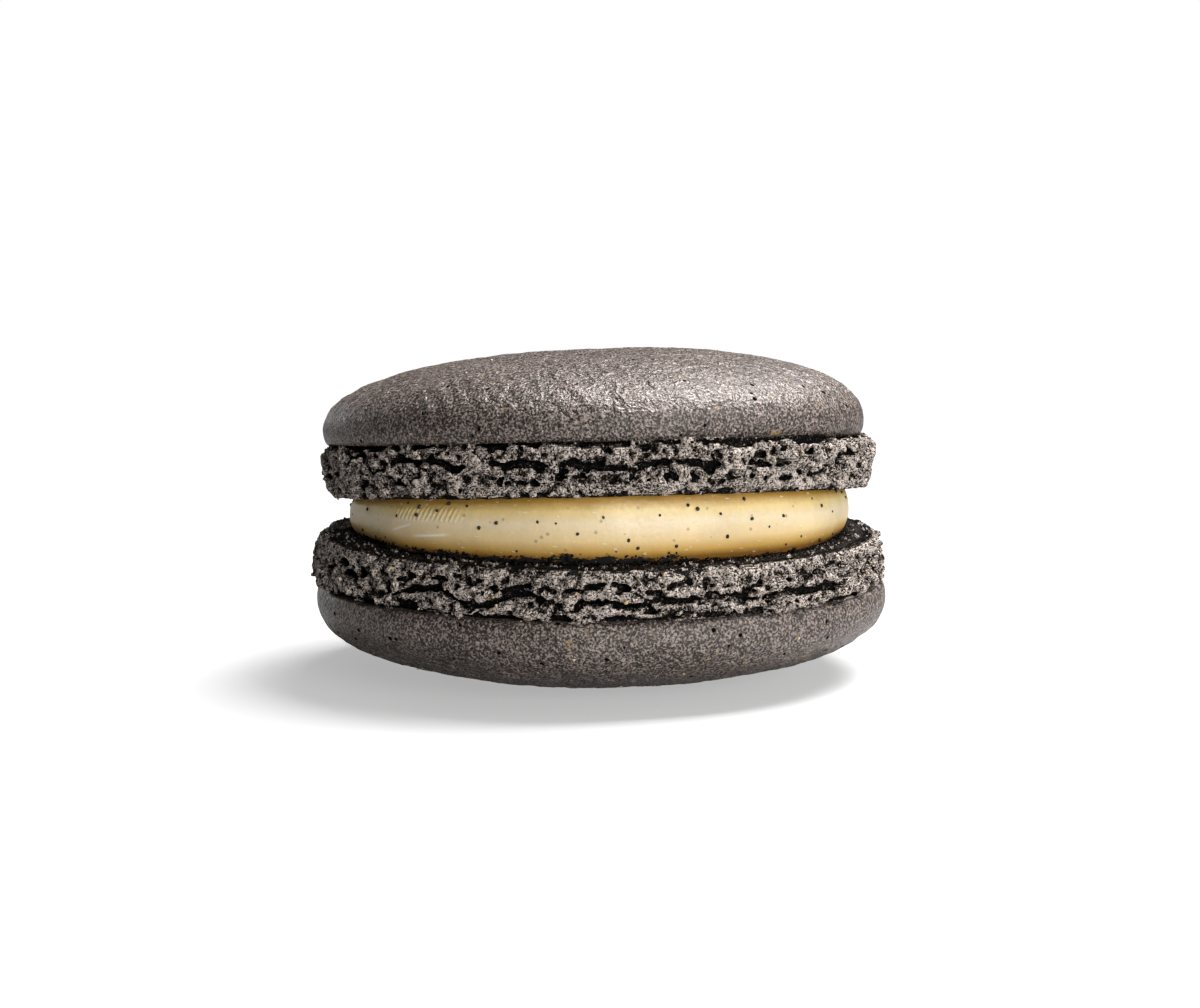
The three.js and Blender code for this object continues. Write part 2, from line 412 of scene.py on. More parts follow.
def foot_field(size, seed):
    """Crumb field of a foot on rings: shape (radii, angles, heights), with painted shade from how
    deep each point lies below the outer envelope, or from face_shade on the inner face, and the
    lattice's axes."""
    seam = size["dome_height"]
    face = seam + size["foot_height"]
    radii = np.arange(size["foot_radius"] - RIM_DEPTH, size["foot_radius"] + RIM_MARGIN, PITCH)
    turns = int(round(2 * np.pi * size["foot_radius"] / PITCH))
    angles = np.arange(turns) * 2 * np.pi / turns
    heights = np.arange(seam - 0.75, face + 0.45, PITCH)
    r, angle, z = np.meshgrid(radii, angles, heights, indexing="ij")
    points = round_points(r, angle, z)

    climb = np.clip((z - seam) / size["foot_height"], 0, 1)
    envelope = size["foot_radius"] + 0.12 + unevenness(size["outline"], angle)
    envelope = envelope - FOOT_TAPER * climb ** 3 - 0.5 * np.clip(1 - climb / 0.25, 0, 1) ** 2
    envelope = envelope - size["tuck"] * ramp(np.cos(angle), 0.75, 0.97)
    envelope = envelope + 0.28 * smooth_noise(points, 2.3, seed)
    depth = envelope - r

    # A rough crust with lumps of two sizes on it, like a cauliflower, and creases where its
    # own lumps meet. The right side rose more evenly, with fewer caves, and is painted paler, as
    # lit from the right
    right_evenness_and_painted_light = 0.1 * np.cos(angle) * (1 - 0.9 * ramp(np.cos(angle), 0.85, 0.97))
    compact = ramp(z, face - 1.1, face - 0.5)
    coarse = -ball_walls(points, 1.5, 0.35, 0.95, 1.2, seed + 1, envelope)
    small = -ball_walls(points, 0.8, 0.2, 0.5, 1.0, seed + 2, envelope - 0.12)
    lump = smooth_noise(points, 0.9, seed + 8)
    creased = ramp(smooth_noise(points, 1.4, seed + 13), -0.3, 0.4)
    crease = np.exp(-(lump / 0.13) ** 2) * creased
    rough = 0.3 * smooth_noise(points, 1.6, seed + 3)
    rough = rough + 0.14 * smooth_noise(points, 0.42, seed + 12)
    rough = rough + 0.6 * (0.2 - abs(lump)) + 0.45 * (1 - 0.5 * compact) * crease
    crust = depth - 0.5 - rough + 0.25 * compact
    field = np.maximum(np.maximum(coarse, small), crust)

    # Caves and pits of burst bubbles
    caves = ball_walls(points, 1.3, 0.12, 0.68, 1.7, seed + 4) + 0.5 * compact + right_evenness_and_painted_light
    caves = caves + 0.28 * smooth_noise(points, 0.6, seed + 5)
    pits = ball_walls(points, 0.58, 0.06, 0.3, 1.15, seed + 6) + 0.05 * compact
    cave_end = depth - CAVE_DEPTH - 0.3 * smooth_noise(points, 0.9, seed + 9)
    field = np.minimum(field, np.maximum(caves, cave_end))
    field = np.minimum(field, np.maximum(pits, depth - PIT_DEPTH))

    # Long crevices whose width comes and goes
    around = points * np.array([1, 1, 0])
    beside = 1 - 0.8 * ramp(abs(np.cos(angle)), 0.8, 0.95)
    for level, wander, width, cell, key in CREVICES:
        middle = level + wander * smooth_noise(around, 2.6, seed + key)
        opened = smooth_noise(around, cell, seed + key + 1)
        opening = beside * width * ramp(opened, -0.55, 0.25)
        crack = abs(z - seam - size["foot_height"] * middle) - opening
        crack = crack + 0.24 * smooth_noise(points, 0.6, seed + key + 2)
        field = np.minimum(field, np.maximum(crack, cave_end + 0.1))

    # Crumb between the inner face and the seam, where it starts only under the dome's skin
    under_skin = size["dome_radius"] - CURL_DEPTH - 0.15
    lift = 0.42 + 0.35 * smooth_noise(around, 1.0, seed + 60)
    start = seam - SEAM_OVERLAP + lift * ramp(r, under_skin - 0.25, under_skin + 0.1)
    face_here = face + face_height(size, points, seed)
    field = np.minimum(field, np.minimum(face_here - z, z - start))
    field = field + 0.06 * smooth_noise(points, 0.36, seed + 7)
    core = np.minimum(face_here - z, z - (seam - SEAM_OVERLAP))
    field = np.where(r < radii[0] + 2.5 * PITCH, core, field)
    on_face = (1 - ramp(face_here - z, 0.2, 0.4)) * ramp(depth, 0.1, 0.35)
    # Painted shade: the deeper below the envelope, the darker, and the right side painted paler,
    # as lit
    sunk = depth - 1.3 * right_evenness_and_painted_light
    sunk = sunk + on_face * (face_shade(points, seed) - sunk)
    return field, sunk, (radii, angles, heights)


# %% [markdown]
# Random bubbles also cut off crumbs that hang in the air, and leave bubbles that nobody can
# see. Both are found by flooding: crumb is kept if the flood from the core reaches it, and air
# is kept if the flood from outside does.

# %% Keeping what holds together
def flood(start, allowed):
    """Grow start through the allowed cells of a lattice that closes on itself along its second
    axis, one neighbour at a time, until nothing more is reached."""
    reached = start & allowed
    count = 0
    while reached.sum() != count:
        count = reached.sum()
        for _ in range(4):
            grown = reached | np.roll(reached, 1, 1) | np.roll(reached, -1, 1)
            grown[1:] |= reached[:-1]
            grown[:-1] |= reached[1:]
            grown[:, :, 1:] |= reached[:, :, :-1]
            grown[:, :, :-1] |= reached[:, :, 1:]
            reached = grown & allowed
    return reached


def tidy_field(field):
    """The field without hanging crumbs and sealed bubbles."""
    edge = np.zeros(field.shape, bool)
    edge[0] = True
    held = flood(edge, field > 0)
    outside = np.zeros(field.shape, bool)
    outside[-1] = True
    open_air = flood(outside, ~held)
    hanging = (field > 0) & ~held
    sealed = (field <= 0) & ~open_air
    print("hanging", int(hanging.sum()), "sealed", int(sealed.sum()), "of", field.size)
    field = np.where(hanging, -0.02, field)
    return np.where(sealed, 0.02, field)


def crumb_share(field):
    """Share of crumb in the five by five by five lattice points round each one: about a third
    at the tip of a crumb, a half on a flat, and two thirds in a hollow."""
    share = (field > 0).astype(np.float32)
    for axis in range(3):
        margin = [(2, 2) if a == axis else (0, 0) for a in range(3)]
        wide = np.pad(share, margin, "wrap" if axis == 1 else "edge")
        count = share.shape[axis]
        share = sum(wide.take(range(k, k + count), axis) for k in range(5)) / 5
    return share


# %% [markdown]
# The skin is drawn by surface nets: each lattice cell that holds both crumb and air gets one
# point, the mean of the places where the field is nought on the cell's edges, and each lattice
# edge between crumb and air gets a face that joins the points of the four cells round it. The
# faces across upright edges have a known fault, which skin_faces describes.

# %% The skin of a field
CELL_CORNERS = np.array(list(itertools.product((0, 1), repeat=3)))
CELL_EDGES = [
    (i, j)
    for i, j in itertools.combinations(range(8), 2)
    if abs(CELL_CORNERS[i] - CELL_CORNERS[j]).sum() == 1
]


def skin_points(field):
    """Points of the skin in lattice steps, and the number of the point in each cell or -1."""
    closed = np.concatenate([field, field[:, :1]], 1)
    span = [n - 1 for n in closed.shape]
    corners = np.stack(
        [closed[a:a + span[0], b:b + span[1], c:c + span[2]] for a, b, c in CELL_CORNERS], -1
    )
    mixed = (corners > 0).any(-1) & (corners <= 0).any(-1)
    cells = np.argwhere(mixed)
    values = corners[mixed]
    total = np.zeros((len(cells), 3))
    count = np.zeros((len(cells), 1))
    for i, j in CELL_EDGES:
        crosses = (values[:, i] > 0) != (values[:, j] > 0)
        gap = values[:, i] - values[:, j]
        t = values[:, i] / np.where(gap == 0, 1, gap)
        place = CELL_CORNERS[i] + t[:, None] * (CELL_CORNERS[j] - CELL_CORNERS[i])
        total += np.where(crosses[:, None], place, 0)
        count += crosses[:, None]
    numbers = np.full(mixed.shape, -1)
    numbers[mixed] = np.arange(len(cells))
    return cells + total / count, numbers


def skin_faces(field, numbers):
    """Faces across the lattice edges where crumb meets air. Known fault: in along_z the four
    corners are joined crosswise, so these faces leave gaps and overlap. In their right order
    they are back[:-1], back[1:], numbers[1:], numbers[:-1]."""
    faces = []
    back = np.roll(numbers, 1, 1)
    solid = field > 0
    along_r = (
        solid[:-1, :, 1:-1], solid[1:, :, 1:-1],
        (back[:, :, :-1], numbers[:, :, :-1], numbers[:, :, 1:], back[:, :, 1:]),
    )
    along_turn = (
        solid[1:-1, :, 1:-1], np.roll(solid, -1, 1)[1:-1, :, 1:-1],
        (numbers[:-1, :, :-1], numbers[:-1, :, 1:], numbers[1:, :, 1:], numbers[1:, :, :-1]),
    )
    along_z = (
        solid[1:-1, :, :-1], solid[1:-1, :, 1:],
        (back[:-1], numbers[1:], back[1:], numbers[:-1]),
    )
    for near, far, cells in (along_r, along_turn, along_z):
        quads = np.stack(cells, -1)
        faces.append(quads[near & ~far])
        faces.append(quads[~near & far][:, ::-1])
    return [f for f in faces if len(f)]


def make_foot(name, size, place, seed):
    """A foot: its field, tidied, its skin, and a plain wall on the inside. Hollows get more
    painted shade and tips painted light, by 1.8 times the share of crumb around them over a half."""
    field, sunk, (radii, angles, heights) = foot_field(size, seed)
    field = tidy_field(field)
    # Painted shade in the hollows and painted light on the tips
    sunk = sunk + 1.8 * (crumb_share(field) - 0.5)
    steps, numbers = skin_points(field)
    faces = skin_faces(field, numbers)
    inner = numbers[0]
    lower = inner[np.arange(len(inner)), (inner >= 0).argmax(1)]
    upper = inner[np.arange(len(inner)), inner.shape[1] - 1 - (inner[:, ::-1] >= 0).argmax(1)]
    wall = np.stack([lower, upper, np.roll(upper, -1), np.roll(lower, -1)], -1)
    r = radii[0] + steps[:, 0] * PITCH
    angle = steps[:, 1] * 2 * np.pi / len(angles)
    z = heights[0] + steps[:, 2] * PITCH
    nearest = np.rint(steps).astype(int)
    sunk = sunk[nearest[:, 0], nearest[:, 1] % len(angles), nearest[:, 2]]
    points = round_points(r, angle, z)
    climb = (z - size["dome_height"]) / size["foot_height"]
    return add_mesh(name, place(points), faces + [wall], {"sunk": sunk, "climb": climb})


bottom_foot = make_foot("bottom_foot", BOTTOM, place_bottom, seed=303)
top_foot = make_foot("top_foot", TOP, place_top, seed=404)

# %% [markdown]
# Inside the foot, each shell has a flat inner face that baked on the mat. Only a narrow ring of
# it shows beside the ganache. It shares the height formula of the foot's own edge, so the two
# run into each other, and it dips where the foot lies over it.

# %% Inner faces
FACE_COLUMNS = 900


def make_inner_face(name, size, place, seed):
    """A flat ring with fine crumbs on its face, closed by a plain underside."""
    outer = size["foot_radius"] - RIM_DEPTH + 0.45
    radii = np.concatenate([[15.5], np.arange(17.5, outer + 0.3, 0.16)])
    angle = np.linspace(0, 2 * np.pi, FACE_COLUMNS, endpoint=False)
    r, turn = np.meshgrid(radii, angle, indexing="ij")
    level = size["dome_height"] + size["foot_height"]
    points = round_points(r, turn, level)
    dip = 0.25 * ramp(r, outer - 0.25, outer + 0.05)
    points[..., 2] += face_height(size, points, seed) - dip
    under = points[[-1, 0]] - np.array([0, 0, 1.2])
    rows = np.concatenate([points, under])
    numbers = ring_numbers(len(rows), FACE_COLUMNS)
    numbers = np.concatenate([numbers, numbers[:1]])
    shade = face_shade(rows, seed)
    return add_mesh(name, place(rows), [grid_faces(numbers, flip=False)], {"sunk": shade})


bottom_inner_face = make_inner_face("bottom_inner_face", BOTTOM, place_bottom, seed=303)
top_inner_face = make_inner_face("top_inner_face", TOP, place_top, seed=404)

# %% [markdown]
# The ganache was piped as one thick drop and pressed flat between the shells, so its side
# swells, most at the front where the gap is widest. It is a turned surface: angle round the
# macaron and height up the side. At the left, slanted pleats show where the pressed skin crept,
# and two thin pale streaks are painted highlights. Along its foot it is painted black, partly
# crumb from the bottom shell and partly painted shadow.

# %% Ganache
GANACHE_COLUMNS = 1400
GANACHE_ROWS = 60
PLEATS_FROM, PLEATS_TO = math.radians(217), math.radians(240)
PLEAT_SPACING = math.radians(1.3)

# Painted highlight streaks: from one angle to another in degrees, and from one share of the
# height to another
HIGHLIGHT_STREAKS = [(217, 225, 0.41, 0.56), (224, 236, 0.35, 0.42)]


def gap_height(x, y):
    """Height between the inner faces: more to the front and to the right."""
    return FILLING_HEIGHT - math.tan(LEAN_BACK) * y + math.tan(LEAN_LEFT) * x


def ganache_point(angle, climb):
    """Side of the ganache at an angle and a share of its height: a quarter ellipse curls in
    under the widest line, and a parabola runs in above it."""
    gap = gap_height(FILLING_RADIUS * np.cos(angle), FILLING_RADIUS * np.sin(angle))
    swell = np.minimum(0.3 * gap, 1.0)
    widest = 0.5
    low = 1.25 * (1 - np.sqrt(1 - (np.clip(widest - climb, 0, 1) / widest) ** 2))
    high = 0.6 * (np.clip(climb - widest, 0, 1) / (1 - widest)) ** 2.4
    radius = FILLING_RADIUS + unevenness(FILLING_OUTLINE, angle) - swell * (low + high)
    radius = radius - 0.25 * ramp(np.cos(angle), 0.75, 0.97)
    x = radius * np.cos(angle)
    y = radius * np.sin(angle)
    z = LEDGE - 0.2 + climb * (gap_height(x, y) + 0.4)
    return np.stack([x, y, z], -1)


def shadow_and_soak_edge(angle):
    """Share of the side's height up to which it is painted black, partly dark crumb that clings
    to it and partly painted shadow under its bulge: most at the front and left, least at the
    right, where the light comes in."""
    turn = round_points(1, angle, 0)
    right = ramp(np.cos(angle + 0.25), 0.45, 0.75)
    wander = smooth_noise(turn * FILLING_RADIUS, 1.7, 511)
    return 0.135 + 0.035 * wander - 0.11 * right


def highlight_streaks(angle, climb):
    """Painted highlight streaks: 1 on lines that run from one angle and climb to another, with
    soft ends, and falling as exp(-t^2) over 0.018 of climb beside them."""
    total = 0
    for start, end, low, high in HIGHLIGHT_STREAKS:
        share = (np.degrees(angle) - start) / (end - start)
        inside = ramp(share, 0, 0.25) * (1 - ramp(share, 0.75, 1))
        total = total + inside * np.exp(-((climb - low - (high - low) * share) / 0.018) ** 2)
    return total


def make_ganache(name):
    """The side with its relief, and a fan of hidden triangles over and under it."""
    turn = np.linspace(0, 2 * np.pi, GANACHE_COLUMNS, endpoint=False)
    climb, angle = np.meshgrid(np.linspace(0, 1, GANACHE_ROWS), turn, indexing="ij")
    points = ganache_point(angle, climb)
    out = round_points(1, angle, 0)
    dents = 0.1 * smooth_noise(points, 3.2, 501) + 0.015 * smooth_noise(points, 1.0, 502)
    band = ramp(angle, PLEATS_FROM, PLEATS_FROM + 0.08)
    band = band * ramp(-angle, -PLEATS_TO, -PLEATS_TO + 0.08)
    rise = ramp(climb, 0.58, 0.66) * ramp(-climb, -0.84, -0.78)
    fold = (angle - 0.12 * climb) / PLEAT_SPACING
    pleats = 0.13 * band * rise * (fold - np.floor(fold)) ** 2
    points = points + out * (dents + pleats)[..., None]
    numbers = ring_numbers(GANACHE_ROWS, GANACHE_COLUMNS)
    count = GANACHE_ROWS * GANACHE_COLUMNS
    ends = np.stack([points[0].mean(0), points[-1].mean(0)])
    below = np.stack([numbers[0, 1:], numbers[0, :-1], np.full(GANACHE_COLUMNS, count)], -1)
    tip = np.full(GANACHE_COLUMNS, count + 1)
    above = np.stack([numbers[-1, :-1], numbers[-1, 1:], tip], -1)
    every = np.concatenate([points.reshape(-1, 3), ends])
    faces = [grid_faces(numbers, flip=True), below, above]
    values = {
        "climb": np.concatenate([climb.ravel(), [0, 1]]),
        # painted shadow and dark crumb along the foot
        "soaked": np.concatenate([(shadow_and_soak_edge(angle) - climb).ravel(), [0, 0]]),
        # painted highlight streaks
        "crease": np.concatenate([highlight_streaks(angle, climb).ravel(), [0, 0]]),
    }
    return add_mesh(name, every, faces, values)


ganache = make_ganache("ganache")

# %% [markdown]
# Vanilla seeds, loose crumbs and almond flecks are scattered by the hundred. Each kind is one
# mesh: a small ball of a few dozen faces is copied to every place as one array, stretched,
# turned and dented at random.

# %% Scattered bits
def ball_template(rows, columns):
    """Points of a ball on parallels with a pole at each end, and its faces."""
    tilt = np.linspace(0, np.pi, rows + 1)[1:-1]
    turn = np.linspace(0, 2 * np.pi, columns, endpoint=False)
    a, b = np.meshgrid(tilt, turn, indexing="ij")
    side = round_points(np.sin(a), b, np.cos(a)).reshape(-1, 3)
    points = np.concatenate([side, [[0, 0, 1], [0, 0, -1]]])
    around = ring_numbers(len(tilt), columns)
    quads = grid_faces(around, flip=False)
    top = np.stack([around[0, :-1], around[0, 1:], np.full(columns, len(side))], -1)
    foot = np.stack([around[-1, 1:], around[-1, :-1], np.full(columns, len(side) + 1)], -1)
    return points, quads, np.concatenate([top, foot])


def scatter(name, places, sizes, dent, seed, attributes=None, detail=(5, 8)):
    """One mesh of balls at the places, each with its own three half sizes, turned at random
    and dented by a share of its radius."""
    random = np.random.default_rng(seed)
    points, quads, triangles = ball_template(*detail)
    count = len(places)
    shape = np.broadcast_to(points, (count, *points.shape))
    shape = shape * (1 + dent * random.uniform(-1, 1, (count, len(points), 1)))
    shape = shape * sizes[:, None, :]
    turn, _ = np.linalg.qr(random.normal(size=(count, 3, 3)))
    turn *= np.sign(np.linalg.det(turn))[:, None, None]
    shape = np.einsum("nij,nkj->nki", turn, shape) + places[:, None, :]
    offset = np.arange(count)[:, None, None] * len(points)
    faces = [
        (quads[None] + offset).reshape(-1, 4),
        (triangles[None] + offset).reshape(-1, 3),
    ]
    kept = (attributes or {}).items()
    spread = {key: np.repeat(values, len(points)) for key, values in kept}
    return add_mesh(name, shape, faces, spread)


def make_seeds(name, count, seed):
    """Vanilla seeds set into the side of the ganache, more where the side is higher."""
    random = np.random.default_rng(seed)
    angle = (np.arange(count) + random.uniform(0, 1, count)) * 2 * np.pi / count
    gap = gap_height(FILLING_RADIUS * np.cos(angle), FILLING_RADIUS * np.sin(angle))
    angle = angle[random.uniform(0, 5.4, count) < gap]
    climb = random.uniform(0.12, 0.93, len(angle))
    places = ganache_point(angle, climb)
    long = random.uniform(0.12, 0.19, len(angle))
    sizes = np.stack([long, long * 0.85, long * 0.8], -1)
    return scatter(name, places, sizes, 0.12, seed)


def make_crumbs(name, count, seed):
    """Crumbs of the bottom shell: black ones stuck low on the side of the ganache, in tufts,
    partly crumb that took up fat and partly painted shadow, and loose ones on the open ledge,
    painted darker near the ganache as in its shadow."""
    random = np.random.default_rng(seed)
    angle = random.uniform(0, 2 * np.pi, count)
    turn = round_points(1, angle, 0)
    tuft = ramp(smooth_noise(turn * FILLING_RADIUS, 0.9, seed), -0.1, 0.6)
    reach = np.maximum(shadow_and_soak_edge(angle), 0.03)
    climb = reach * (0.3 + (0.75 + 0.5 * tuft) * random.random(count))
    stuck = ganache_point(angle, climb) + turn * random.uniform(0, 0.05, (count, 1))
    out = random.exponential(0.6, count)
    radius = np.minimum(19.1 + out, BOTTOM["foot_radius"] - 1.0)
    loose = turn * radius[:, None] + np.array([0, 0, LEDGE])
    on_side = random.random(count) < 0.45
    places = np.where(on_side[:, None], stuck, loose)
    size = random.uniform(0.04, 0.14, count) * np.where(random.random(count) < 0.1, 1.5, 1.0)
    size = size * np.where(on_side, 0.75, 1.0)
    sizes = size[:, None] * random.uniform(0.5, 1.6, (count, 3))
    places[:, 2] += 0.4 * size
    # Painted shade: crumbs on the side black, loose ones darker the nearer they lie to the
    # ganache
    sunk = np.where(on_side, 1.4, 1.1 - 0.8 * ramp(out, 0.4, 1.6))
    return scatter(name, places, sizes, 0.5, seed, {"sunk": sunk}, detail=(4, 6))


vanilla_seeds = make_seeds("vanilla_seeds", 105, seed=601)
shell_crumbs = make_crumbs("shell_crumbs", 3000, seed=602)


FLECK_SHARES = [(bottom_foot, 0.42), (top_foot, 0.34), (bottom_dome, 0.13), (top_dome, 0.11)]


def make_flecks(name, count, seed):
    """Almond flecks on the feet and domes: random points of those surfaces."""
    random = np.random.default_rng(seed)
    places = []
    for piece, share in FLECK_SHARES:
        mesh = piece.data
        co = np.empty(len(mesh.vertices) * 3, np.float32)
        mesh.vertices.foreach_get("co", co)
        co = co.reshape(-1, 3) / MM
        if "sunk" in mesh.attributes:
            sunk = np.empty(len(co), np.float32)
            mesh.attributes["sunk"].data.foreach_get("value", sunk)
            co = co[sunk < 0.35]
        co = co[co[:, 2] > 0.3]
        places.append(co[random.integers(0, len(co), int(count * share))])
    places = np.concatenate(places)
    size = random.uniform(0.045, 0.11, len(places))
    sizes = size[:, None] * random.uniform(0.5, 1.4, (len(places), 3))
    return scatter(name, places, sizes, 0.25, seed, {"tone": random.random(len(places))})


almond_flecks = make_flecks("almond_flecks", 400, seed=603)

# %% [markdown]
# Materials are written as sums. A small class wraps a socket, so that adding or multiplying
# two patterns adds the nodes for it, and one method makes every other node.

# %% Shader sums
class Wire:
    """One output of a node, which Python can calculate with."""

    def __init__(self, tree, socket=None):
        self.tree = tree
        self.socket = socket

    def node(self, kind, settings=None, values=None, out=0):
        """A new node: its settings first, then the values or wires of its sockets."""
        made = self.tree.nodes.new("ShaderNode" + kind)
        for key, value in (settings or {}).items():
            if key == "stops":
                while len(made.color_ramp.elements) < len(value):
                    made.color_ramp.elements.new(1.0)
                for element, (place, colour_there) in zip(made.color_ramp.elements, value):
                    element.position = place
                    element.color = (*colour_there, 1.0)
            else:
                setattr(made, key, value)
        for key, value in (values or {}).items():
            if isinstance(value, Wire):
                self.tree.links.new(value.socket, made.inputs[key])
            else:
                made.inputs[key].default_value = value
        return Wire(self.tree, made.outputs[out])

    def math(self, operation, *others):
        return self.node("Math", {"operation": operation}, dict(enumerate((self, *others))))

    def __add__(self, other):
        return self.math("ADD", other)

    __radd__ = __add__

    def __mul__(self, other):
        return self.math("MULTIPLY", other)

    __rmul__ = __mul__

    def __sub__(self, other):
        return self.math("SUBTRACT", other)

    def __rsub__(self, other):
        return (self * -1.0) + other

    def ramp(self, low, high):
        """0 below low and 1 above high, smooth between."""
        values = {"Value": self, "From Min": low, "From Max": high}
        return self.node("MapRange", {"interpolation_type": "SMOOTHSTEP"}, values)

    def blend(self, first, second):
        """Colour that goes from first to second as this goes from 0 to 1."""
        return self.node("Mix", {"data_type": "RGBA"}, {0: self, 6: first, 7: second}, out=2)

    def colours(self, *stops):
        """Colour along these stops as this goes from 0 to 1."""
        return self.node("ValToRGB", {"stops": stops}, {"Fac": self})

    def kept(self, name):
        """The value that was kept on the mesh under this name."""
        return self.node("Attribute", {"attribute_name": name}, {}, out="Fac")

    def scaled(self, *scale):
        """These points with each coordinate times its own scale."""
        return self.node("Mapping", {}, {"Vector": self, "Scale": scale})

    def noise(self, scale, detail, out=0, **more):
        """Noise over these points, with blobs 1 / scale wide and finer layers by detail."""
        values = {"Vector": self, "Scale": scale, "Detail": detail, **more}
        return self.node("TexNoise", {}, values, out)

    def spots(self, scale):
        """Distance to the nearest of random points about 1 / scale apart, in that unit."""
        return self.node("TexVoronoi", {}, {"Vector": self, "Scale": scale}, out="Distance")

    def bent(self, scale, reach):
        """These points plus reach times a noise, so that patterns over them curl."""
        warp = self.noise(scale, 2.0, out="Color")
        values = {0: warp, 1: (reach, reach, reach), 2: self}
        return self.node("VectorMath", {"operation": "MULTIPLY_ADD"}, values)


def colour(*rgb):
    """A colour with its alpha."""
    return (*rgb, 1.0)


def start_material(name):
    """An empty material, a wire to start from, and Object coordinates in millimetres."""
    material = bpy.data.materials.new(name)
    material.use_nodes = True
    material.node_tree.nodes.clear()
    start = Wire(material.node_tree)
    place = start.node("TexCoord", out="Object").scaled(1 / MM, 1 / MM, 1 / MM)
    return material, start, place


def finish_material(start, values, hole=None):
    """The Principled shader with these socket values, joined to the output. Where the wire
    hole is 1, a shader that is black and dull takes its place, as painted shade inside a hole."""
    shader = start.node("BsdfPrincipled", {}, values)
    if hole:
        black = colour(0.004, 0.003, 0.003)
        dull = {"Base Color": black, "Roughness": 1.0, "Specular IOR Level": 0.0}
        dark = start.node("BsdfPrincipled", {}, dull)
        shader = start.node("MixShader", {}, {0: hole, 1: shader, 2: dark})
    output = start.tree.nodes.new("ShaderNodeOutputMaterial")
    start.tree.links.new(shader.socket, output.inputs["Surface"])


# %% [markdown]
# The crust is charcoal grey and warm, with a fine curly grain that glitters where the light
# grazes it. The grain is ridged noise, for the thin curly lines, over fine round noise, and it
# feeds the colour, the roughness and the bump alike, so a raised line is also paler. Here and
# there it is stained golden. Pinholes are dips with a black dull shader mixed in as painted shade
# inside them, because a dark colour alone would still be filled by the gloss.

# %% Crust
def make_crust():
    """Tone is the sum of grain, curls, folds and slow clouds, and picks the colour."""
    material, start, place = start_material("meringue_crust")
    bent = place.bent(0.8, 1.5)
    curl = start.node(
        "TexNoise",
        {"noise_type": "RIDGED_MULTIFRACTAL", "normalize": True},
        {"Vector": bent, "Scale": 2.2, "Detail": 4.0, "Roughness": 0.7},
    )
    grain = place.noise(5.5, 2.0, Roughness=0.7)
    fold = bent.noise(2.2, 1.0)
    cloud = place.noise(0.3, 3.0)
    tone = 0.41 + 5.2 * (grain - 0.5) + 0.8 * curl + 0.6 * (fold - 0.5) + 0.4 * (cloud - 0.5)
    base = tone.colours(
        (0.08, (0.011, 0.0080, 0.0070)),
        (0.35, (0.046, 0.0345, 0.0300)),
        (0.60, (0.110, 0.0850, 0.0740)),
        (0.95, (0.300, 0.2450, 0.2180)),
    )
    stain = bent.noise(0.9, 3.0).ramp(0.67, 0.73) * (grain + 0.2) * 0.9
    base = stain.blend(base, colour(0.34, 0.235, 0.100))
    # Painted shade: each pinhole dip gets the black dull shader
    pinhole = 1.0 - place.spots(0.55).ramp(0.085, 0.115)
    height = 0.9 * grain + 1.8 * fold + 0.5 * curl - 0.8 * pinhole
    normal = start.node("Bump", {}, {"Height": height, "Strength": 1.0, "Distance": 0.00009})
    finish_material(start, {
        "Base Color": base,
        "Roughness": 0.37 - 0.6 * (grain - 0.5),
        "Normal": normal,
        "Specular IOR Level": 0.6,
        "Specular Tint": colour(1.0, 0.92, 0.87),
    }, hole=pinhole)
    return material


crust = make_crust()

# %% [markdown]
# The crumb of the foot is painted paler at the tips and darker in the caves, as light and shade
# fall on it. That painted shade was kept on the mesh, and it darkens the colour. A web of cell
# edges stands for the walls of bubbles too small for the mesh, and round dips for the bubbles,
# with painted light on the walls and painted shade in the dips.

# %% Crumb
def make_crumb():
    """Tone is painted light on the tips and walls, less painted shade in hollows, plus grain and
    clumps.
    """
    material, start, place = start_material("meringue_crumb")
    bent = place.bent(2.0, 0.5)
    web = start.node(
        "TexVoronoi", {"feature": "DISTANCE_TO_EDGE"}, {"Vector": bent, "Scale": 4.0}
    )
    walls = 1.0 - web.ramp(0.02, 0.16)
    hollow = 1.0 - bent.spots(2.6).ramp(0.18, 0.36)
    grain = place.noise(7.0, 1.0, Distortion=0.6)
    cloud = place.noise(0.5, 2.0)
    clump = bent.noise(1.8, 2.0)
    # Painted light and shade kept on the mesh: tips paler, caves darker
    tip = 1.0 - start.kept("sunk").ramp(0.25, 1.25)
    tone = 0.80 * tip - 0.16 + 0.34 * walls - 0.44 * hollow
    tone = tone + 2.0 * (grain - 0.5) + 0.8 * (clump - 0.5) + 0.6 * (cloud - 0.5)
    base = tone.colours(
        (0.14, (0.002, 0.0016, 0.0015)),
        (0.36, (0.030, 0.0235, 0.0200)),
        (0.60, (0.165, 0.1320, 0.1150)),
        (0.90, (0.740, 0.6400, 0.5700)),
    )
    gold = place.noise(2.6, 1.0).ramp(0.70, 0.78) * 0.5
    base = gold.blend(base, colour(0.42, 0.31, 0.14))
    height = 0.5 * walls + 0.8 * grain - 0.7 * hollow + 1.7 * clump
    normal = start.node("Bump", {}, {"Height": height, "Strength": 1.0, "Distance": 0.00016})
    finish_material(start, {
        "Base Color": base,
        "Roughness": 0.80 - 0.2 * grain,
        "Normal": normal,
        "Specular IOR Level": 0.12,
    })
    return material


crumb = make_crumb()
